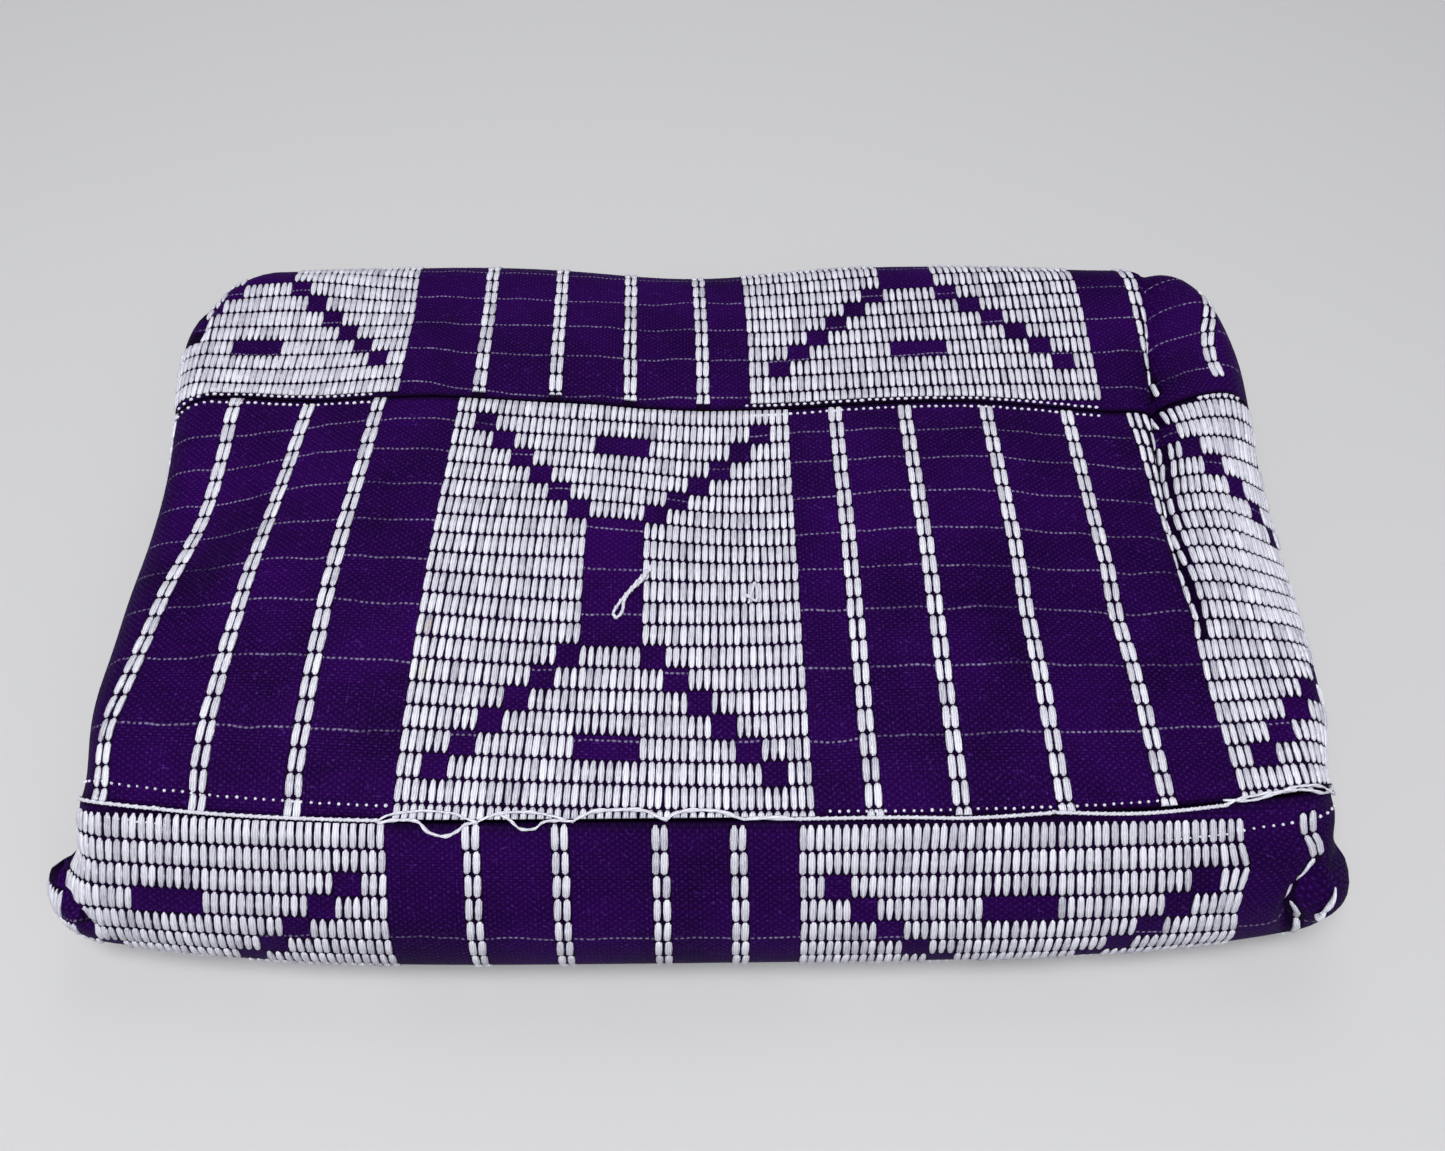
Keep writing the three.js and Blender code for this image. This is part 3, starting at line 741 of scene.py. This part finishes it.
def acrossStops(start, end, step):
    # closer where the section bends
    stops = [start]
    for first, length, bend in section[:, :3]:
        count = max(1, math.ceil(length / step), math.ceil(abs(bend) / sheets["bendStep"]))
        inside = first + np.arange(count) * length / count
        gap = sheets["endGap"]
        stops += [run for run in inside if start + gap < run < end - gap]
    return np.array(stops + [end])


def wovenSheet(name, index):
    # a grid over run and u, its outer and inner faces joined by a rounded rim
    outer = index < len(strips)
    half = cloth["seamGap"] / 2
    start = index * cloth["stripWide"] + (half if index else 0)
    end = (index + 1) * cloth["stripWide"] - (half if index < stripCount - 1 else 0)
    runs = acrossStops(start, end, sheets["acrossStep"][outer])
    left, right, curl, radius = endsAt(sectionAt(runs))
    low, high = left - curl * radius, right + curl * radius
    share = np.linspace(0, 1, sheets["columns"][outer])
    u = low[:, None] + (high - low)[:, None] * share
    run = strayed(np.broadcast_to(runs[:, None], u.shape), u)
    middle, along, across, out = onCloth(run, u)
    skin = out * cloth["thick"] / 2
    rows, cols = u.shape
    ahead, down = np.arange(cols), np.arange(rows)    # once round the rim, seen from outside
    r = np.concatenate([0 * ahead[1:], down[:-1], 0 * ahead[1:] + rows - 1, down[:0:-1]])
    c = np.concatenate([ahead[:-1], 0 * down[1:] + cols - 1, ahead[:0:-1], 0 * down[1:]])
    sideways = (c == cols - 1) * 1 - (c == 0)    # 1 at the right end, -1 at the left end
    corner = along[r, c] * sideways[:, None] * cloth["thick"] / 2
    points = [(middle + skin).reshape(-1, 3), (middle - skin).reshape(-1, 3)]
    grid = np.arange(rows * cols).reshape(rows, cols)
    loops = [grid[r, c]]
    for i in range(1, sheets["rim"] + 1):
        bend = math.pi * i / (sheets["rim"] + 1)
        bulge = corner * math.sin(bend) * sheets["bulge"]
        points.append(middle[r, c] + skin[r, c] * math.cos(bend) + bulge)
        loops.append(2 * rows * cols + (i - 1) * len(r) + np.arange(len(r)))
    loops.append(grid[r, c] + rows * cols)
    edges = [np.stack([a, b, np.roll(b, -1), np.roll(a, -1)], 1) for a, b in zip(loops, loops[1:])]
    top = np.stack([grid[:-1, :-1], grid[1:, :-1], grid[1:, 1:], grid[:-1, 1:]], -1)
    under = top[..., [0, 3, 2, 1]] + rows * cols
    strip = strips[index] if outer else strips[1 + index % 2]
    pattern = patternPlace(run, u, strip, index).reshape(-1, 3)
    fromSeam = np.minimum(runs - start, end - runs)[:, None] + 0 * u
    for groove in grooves if index < len(slips) else []:
        away, share = fromGroove(u, seamRun - run, groove["points"])
        shade = away * grooveShade["narrows"] + grooveShade["endsIn"] * (1 - share)
        fromSeam = np.minimum(fromSeam, shade + grooveShade["least"])

    def everywhere(values):    # on the outer face, on the inner face and round the rim
        return np.concatenate([values, values] + [values[grid[r, c]]] * sheets["rim"])

    made = addPiece(name + "_cloth", np.concatenate(points), [top, under, *edges],
                    groundFinishes[min(index, len(strips) - 1)],
                    dict(patternPlace=everywhere(pattern), fromSeam=everywhere(fromSeam.ravel())))
    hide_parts(name)
    flat = (cloth["stripWide"] / 1000, float(np.mean(high - low)) / 1000)
    return made, flat


names = ["back_strip", "top_strip", "front_strip"]
names += [f"inner_strip_{i + 1:02d}" for i in range(len(names), stripCount)]
woven = [wovenSheet(name, i) for i, name in enumerate(names)]
print("stage: sheets", len(woven))


# The floats: short bars of loose yarn that lie on the ground weave in columns and rows.
floats = dict(    # shares of a float's own size, then how far each varies, then mm
    wide=0.92, long=0.95, blunt=[0.6, 0.94, 1.0, 0.94, 0.6], pointed=[0.12, 0.7, 1.0, 0.94, 0.6],
    ringAt=[0.0, 0.12, 0.5, 0.88, 1.0], ringRise=[0.15, 0.85, 1.0, 0.85, 0.15],
    section=[(-1, -0.25), (-0.8, 0.72), (0, 1), (0.8, 0.72), (1, -0.25)],
    xVaries=0.05, wideVaries=0.035, leanVaries=0.08, riseVaries=0.07, tone=(0.74, 0.11),
    rise=0.44, lean=0.2, seamMargin=0.3, backSeamMargin=1.9, endMargin=0.6, shortest=0.8,
    grooveEnds=0.15, settleSteps=9, strandsFrom=50,
)


def floatPlaces(strip):
    # every float of one strip: x, over at both ends, column width, and which ends are pointed
    found, columns, bandStep = [], weave["blockColumns"], weave["bandStep"]
    row, column = np.indices((weave["rows"] + 1, columns)).reshape(2, -1)
    row = row - 1
    for left, right in strip["blocks"]:
        step = (right - left) / columns
        below, above = ~isWhite(row - 1, column), ~isWhite(row + 1, column)
        x = left + (column + 0.5) * step
        block = np.stack([x, row, np.full_like(x, step), below, above], 1)
        found.append(block[isWhite(row, column)])
    for center in strip["bands"]:
        for x in (center - bandStep / 2, center + bandStep / 2):
            found.append([(x, line, bandStep, 0, 0) for line in range(-1, weave["rows"])])
    x, row, step, below, above = np.concatenate(found).T
    margin = weave["rowHigh"] * (1 - floats["long"]) / 2
    low = strip["firstRow"] + row * weave["rowHigh"] + margin
    return x, low, low + weave["rowHigh"] - 2 * margin, step, below > 0.5, above > 0.5


def layFloats(name, index, startRun, endRun):
    # one closed bar for each float: five rings of five points, settled onto the crept pattern
    x, low, high, step, below, above = floatPlaces(strips[index])
    count = len(x)
    x = x + rng.normal(0, floats["xVaries"], count)
    wide = step * floats["wide"] * rng.normal(1, floats["wideVaries"], count)
    lean = floats["lean"] + rng.normal(0, floats["leanVaries"], count)
    share = np.array(floats["ringAt"])
    over = low[:, None] + (high - low)[:, None] * share
    xs = x[:, None] + lean[:, None] * (share - 0.5)
    along = across = 0
    for settle in range(floats["settleSteps"]):
        along, across = slip(xs + along, over + across, index)
    u, run = xs + along, seamRun - (over + across)
    run = np.clip(run, strayed(startRun, u), strayed(endRun, u))
    left, right, curl, radius = endsAt(sectionAt(run))
    margin = curl * radius - floats["endMargin"]
    inside = ((u > left - margin) & (u < right + margin)).all(1)
    keep = inside & (np.ptp(run, axis=1) > floats["shortest"])
    midX, midOver = u[:, 2], seamRun - run[:, 2]
    for groove in grooves:
        away, fade = fromGroove(midX, midOver, groove["points"])
        keep &= (away > groove["bare"]) | (fade < floats["grooveEnds"])
    for atX, atOver, halfX, halfOver in barePatches:
        keep &= ((midX - atX) / halfX) ** 2 + ((midOver - atOver) / halfOver) ** 2 > 1
    u, run, wide, below, above = (v[keep] for v in (u, run, wide, below, above))
    count = len(u)
    ringWide = np.where(below[:, None], floats["pointed"], floats["blunt"])
    ringWide = ringWide * np.where(above[:, None], floats["pointed"][::-1], floats["blunt"])
    point, along, across, out = (v[:, :, None] for v in onCloth(run, u, cloth["thick"] / 2))
    profile = np.array(floats["section"])
    rise = floats["rise"] * rng.normal(1, floats["riseVaries"], count)
    offset = profile[:, 0] * ringWide[..., None] * wide[:, None, None] / 2
    height = profile[:, 1] * (np.array(floats["ringRise"])[:, None] * rise[:, None, None])
    points = point + along * offset[..., None] + out * height[..., None]
    sides, rings = len(profile), len(share)
    ring = np.arange(sides)
    quads = ringFaces(rings, sides)[:, [0, 3, 2, 1]]
    caps = np.array([ring, (rings - 1) * sides + ring[::-1]])
    base = np.arange(count)[:, None, None] * sides * rings
    tone = rng.normal(*floats["tone"], count)[:, None, None]
    strands = offset + rng.uniform(0, floats["strandsFrom"], count)[:, None, None]
    faces = [base + quads, base + caps]
    return addYarn(name, points, faces, strands, run[:, :, None], tone)


for i in range(len(strips)):
    startRun = i * cloth["stripWide"] + floats["seamMargin"]
    endRun = (i + 1) * cloth["stripWide"] - floats["seamMargin" if i else "backSeamMargin"]
    layFloats(names[i] + "_floats", i, startRun, endRun)


# The sewing: a thread of two plies along the front seam, its loose loops, and small stitches.
thread = dict(thin=0.55, neck=0.5, neckPower=6, sides=10, endSize=0.5, tone=0.85,
              step=0.2, perSpan=24, fewest=8)
frontThreads = [    # name, length of a half turn, radius, and its points: x, over, height
    ("front_seam_thread_left", 1.65, 0.5, [(-124.5, -0.2, 0.3), (-104, 0.1, 0.3),
     (-103, 0.1, 0.75), (-101.5, 0.1, 0.3), (-80, 0.1, 0.3), (-61.5, 0, 0.3)]),
    ("front_seam_loop_1", 5.5, 0.34, [(-61.8, -0.1, 0.3), (-60, 0.9, 0.5), (-56.5, 1.5, 0.8),
     (-52, 1.7, 0.8), (-48, 1.2, 0.7), (-45, 0.2, 0.4), (-43.3, -0.2, 0.3)]),
    ("front_seam_loop_2", 4, 0.45, [(-61.8, -0.3, 0.3), (-58, 0.1, 0.4), (-54.5, -0.1, 0.5),
     (-52.2, -1.2, 0.6), (-49.3, -1.6, 0.7), (-47, -1.1, 0.6), (-45.5, -0.4, 0.4),
     (-43.3, -0.2, 0.3)]),
    ("front_seam_loop_3", 6, 0.4, [(-43.5, -0.2, 0.3), (-41.5, 0.6, 0.6), (-38.5, 1.3, 0.8),
     (-34, 1.4, 0.8), (-30, 0.8, 0.7), (-27.5, 0, 0.4), (-25.6, -0.2, 0.3)]),
    ("front_seam_loop_4", 4, 0.36, [(-39.5, 1.2, 0.6), (-37.2, -0.1, 0.5), (-35.4, -0.9, 0.6),
     (-32.8, -0.9, 0.6), (-31, -0.2, 0.5), (-27.5, -0.1, 0.4), (-25.6, -0.2, 0.3)]),
    ("front_seam_loop_5", 7, 0.5, [(-25.8, -0.2, 0.3), (-24.2, 0.7, 0.5), (-21.5, 1.5, 0.8),
     (-17, 1.7, 0.9), (-12.5, 1.5, 0.8), (-9.6, 0.2, 0.4), (-8.2, -0.1, 0.3)]),
    ("front_seam_loop_6", 7, 0.5, [(-8.4, -0.1, 0.3), (-7, 1, 0.5), (-3.5, 1.5, 0.8),
     (1, 1.3, 0.8), (5, 0.1, 0.4), (6.2, -0.1, 0.3)]),
    ("front_seam_flat_stitch", 9, 0.55, [(6, -0.1, 0.3), (8, 0, 0.45), (12, 0, 0.45),
     (15.4, -0.1, 0.3)]),
    ("front_seam_thread_right", 1.65, 0.5, [(15.2, -0.1, 0.3), (34, 0, 0.3), (48, -0.2, 0.3),
     (62, 0.1, 0.3), (63.4, 0.3, 0.7), (65, 0.1, 0.3), (80, -0.5, 0.3), (97, -0.4, 0.3)]),
    ("front_seam_end_1", 5, 0.4, [(96, 0.3, 0.4), (101, -0.2, 0.5), (106, 0.2, 0.6), (110, 1, 0.7),
     (114, 0.7, 0.9), (118, -0.9, 0.8), (122, -1.4, 0.6), (124.5, 0.2, 0.5), (124, 1.6, 0.4)]),
    ("front_seam_end_2", 5, 0.4, [(96, -0.4, 0.3), (101, 0.4, 0.5), (106, 0.6, 0.6),
     (111, 0.4, 0.6), (116, -0.6, 0.6), (121, 0.4, 0.6), (124.5, 0.9, 0.4)]),
    ("front_ear_yarn_1", 5, 0.6, [(121, -21.6, 0.2), (119.9, -23.1, 0.7), (119.1, -24.6, 0.8),
     (118.3, -26.2, 0.5)]),
    ("front_ear_yarn_2", 4, 0.85, [(119.2, -25.4, 0.2), (118.6, -26.5, 0.7), (118, -27.5, 0.4)]),
    ("loose_loop", 1.9, 0.5, [(-12.6, 58, -0.2), (-13.9, 55.2, 0.6), (-15.6, 52.3, 1),
     (-17.5, 49.6, 0.8), (-19.4, 46.6, 0.6), (-20.1, 44.7, 0.6), (-19.4, 43.8, 0.6),
     (-18.3, 45.2, 0.6), (-17.9, 48, 0.9), (-16.5, 50.4, 1.1), (-14.6, 52.8, 0.8),
     (-13.2, 55.6, 0.6), (-12, 57.6, -0.2)]),
    ("loose_snag", 3, 0.42, [(6.5, 49.6, -0.2), (8.1, 48.3, 0.8), (9.7, 46.9, 1.1),
     (9.9, 49.6, 1.1), (9.5, 51.8, 0.6), (8.8, 49.6, 0.6), (7.9, 47, -0.2)]),
]


def curveThrough(points):
    # a smooth curve through the points, by Catmull and Rom's rule, stepped evenly
    points = np.asarray(points, float)
    ends = np.vstack([2 * points[0] - points[1], points, 2 * points[-1] - points[-2]])
    t = np.linspace(0, 1, thread["perSpan"], endpoint=False)[:, None]
    parts = []
    for i in range(len(points) - 1):
        a, b, c, d = ends[i : i + 4]
        square, cube = 2 * a - 5 * b + 4 * c - d, 3 * b - a - 3 * c + d
        parts.append(0.5 * (2 * b + (c - a) * t + square * t**2 + cube * t**3))
    path = np.vstack(parts + [points[-1:]])
    length = np.concatenate([[0], np.cumsum(np.linalg.norm(np.diff(path, axis=0), axis=1))])
    count = max(thread["fewest"], int(length[-1] / thread["step"]))
    at = np.linspace(0, length[-1], count)
    return np.stack([np.interp(at, length, path[:, i]) for i in range(3)], -1), at


def layThread(name, halfTurn, radius, points):
    # a tube whose section is longer one way and turns steadily, as two twisted plies
    path, at = curveThrough(points)
    u, run = path[:, 0], seamRun - path[:, 1]
    place, along, across, out = onCloth(run, u, cloth["thick"] / 2 + path[:, 2])
    ahead = unit(np.gradient(place, axis=0))
    side = unit(np.cross(ahead, out))
    up = np.cross(side, ahead)
    angle = np.linspace(0, 2 * math.pi, thread["sides"], endpoint=False)
    turn = (math.pi * at / halfTurn)[:, None]
    turned = angle - turn
    size = radius * (thread["thin"] + (1 - thread["thin"]) * np.cos(turned) ** 2)
    size = size * (1 - thread["neck"] * np.cos(turn) ** thread["neckPower"])
    size[[0, -1]] *= thread["endSize"]
    ring = side[:, None] * (np.cos(angle) * size)[..., None]
    ring = ring + up[:, None] * (np.sin(angle) * size)[..., None]
    tube = place[:, None] + ring
    quads, ring = ringFaces(len(path), thread["sides"]), np.arange(thread["sides"])
    caps = np.array([ring[::-1], ring + (len(path) - 1) * len(ring)])
    return addYarn(name, tube, [quads, caps], turned * radius, at[:, None], thread["tone"])


stitch = dict(    # a low dome: each ring's share of its size and its height, then the tip's height
    sides=6, rings=[(0.9, -0.15), (1, 0.12), (0.62, 0.34)], tip=0.42,
    placeVaries=0.06, sizeVaries=0.1, tone=0.95,
)
stitchRows = [    # from x, over to x, over, then pitch, length and width
    ((-121.5, 4.3), (-60.7, 2.9), 1.65, 0.62, 0.62),
    ((22, 1.3), (87, 1.4), 1.65, 0.62, 0.62),
    ((100.2, -5.1), (121, -4.6), 1.65, 0.62, 0.62),
    ((70, -5.3), (97, -5.6), 1.62, 0.5, 0.34),
    ((-121, -1.7), (-92, -1.6), 1.62, 0.5, 0.36),
    ((-125, 105.2), (-78, 105.2), 1.64, 1, 0.75),
    ((-125, 102.6), (-78, 102.6), 1.64, 0.9, 0.7),
    ((9, 105.2), (92, 105.2), 1.64, 1, 0.75),
    ((9, 102.3), (92, 102.5), 1.64, 0.9, 0.7),
]


def layStitches(name, rows):
    # every stitch of the rows, each a closed dome of rings and a tip
    places, vary = [], stitch["placeVaries"]
    for (startX, startOver), (endX, endOver), pitch, long, wide in rows:
        share = np.linspace(0, 1, int(abs(endX - startX) / pitch))
        x = startX + (endX - startX) * share + rng.normal(0, vary, len(share))
        over = startOver + (endOver - startOver) * share + rng.normal(0, vary, len(share))
        size = rng.normal(1, stitch["sizeVaries"], len(share))
        places.append(np.stack([x, over, size * long / 2, size * wide / 2], -1))
    x, over, long, wide = np.concatenate(places).T
    point, along, across, out = onCloth(strayed(seamRun - over, x), x, cloth["thick"] / 2)
    sides = stitch["sides"]
    angle = np.linspace(0, 2 * math.pi, sides, endpoint=False)
    parts = []
    for share, height in stitch["rings"]:
        ring = along[:, None] * (np.cos(angle) * long[:, None] * share)[..., None]
        ring = ring - across[:, None] * (np.sin(angle) * wide[:, None] * share)[..., None]
        parts.append(point[:, None] + ring + out[:, None] * height)
    points = np.concatenate(parts + [(point + out * stitch["tip"])[:, None]], 1)
    tip = len(parts) * sides
    base = np.arange(len(x))[:, None, None] * (tip + 1)
    i = np.arange(sides)
    j, last = np.roll(i, -1), tip - sides
    quads = ringFaces(len(parts), sides)
    tops = np.stack([last + i, last + j, np.full(sides, tip)], 1)
    faces = [base + part for part in (quads, tops, i[::-1][None])]
    return addYarn(name, points, faces, points[..., 0], points[..., 1], stitch["tone"])


sewing = [layThread(*row) for row in frontThreads]
sewing.append(layStitches("stitches", stitchRows))
print("stage: sewing", len(sewing))


# The stage: a pale floor and soft light from above and in front.
stage = dict(
    floorWide=3000, floorColor=(0.52, 0.52, 0.53, 1), floorRough=0.9,
    world=(0.92, 0.94, 1.0, 1), worldPower=0.17,
)
lamps = [    # where it stands in metres, its size, its power in watts
    ((-0.12, -0.36, 1.1), 0.7, 15.0),
    ((0.5, -0.75, 0.8), 0.6, 1.2),
    ((0.1, 0.75, 0.95), 0.8, 2.6),
]


def addStage():
    # the floor, the even light all round, and square lamps that point at the origin
    corners = np.array([(-1, -1, 0), (1, -1, 0), (1, 1, 0), (-1, 1, 0)]) * stage["floorWide"] / 2
    material, tree = newFinish("floor")
    shader = addNode(tree, "BsdfPrincipled", None, {
        "Base Color": stage["floorColor"], "Roughness": stage["floorRough"]})
    addNode(tree, "OutputMaterial", None, dict(Surface=shader))
    floor = addMesh("floor", corners - frontSeamAt, [np.array([[0, 1, 2, 3]])], material)
    world = bpy.data.worlds.new("studio")
    world.use_nodes = True
    backdrop = world.node_tree.nodes["Background"]
    backdrop.inputs["Color"].default_value = stage["world"]
    backdrop.inputs["Strength"].default_value = stage["worldPower"]
    bpy.context.scene.world = world
    for i, (place, size, power) in enumerate(lamps):
        lamp = bpy.data.lights.new(f"lamp_{i + 1}", "AREA")
        lamp.size, lamp.energy = size, power
        holder = bpy.data.objects.new(f"lamp_{i + 1}", lamp)
        holder.location = place
        holder.rotation_euler = (-Vector(place)).to_track_quat("-Z", "Y").to_euler()
        bpy.context.scene.collection.objects.link(holder)


addStage()
bpy.context.scene.view_settings.view_transform = "Standard"
print("stage: lights")
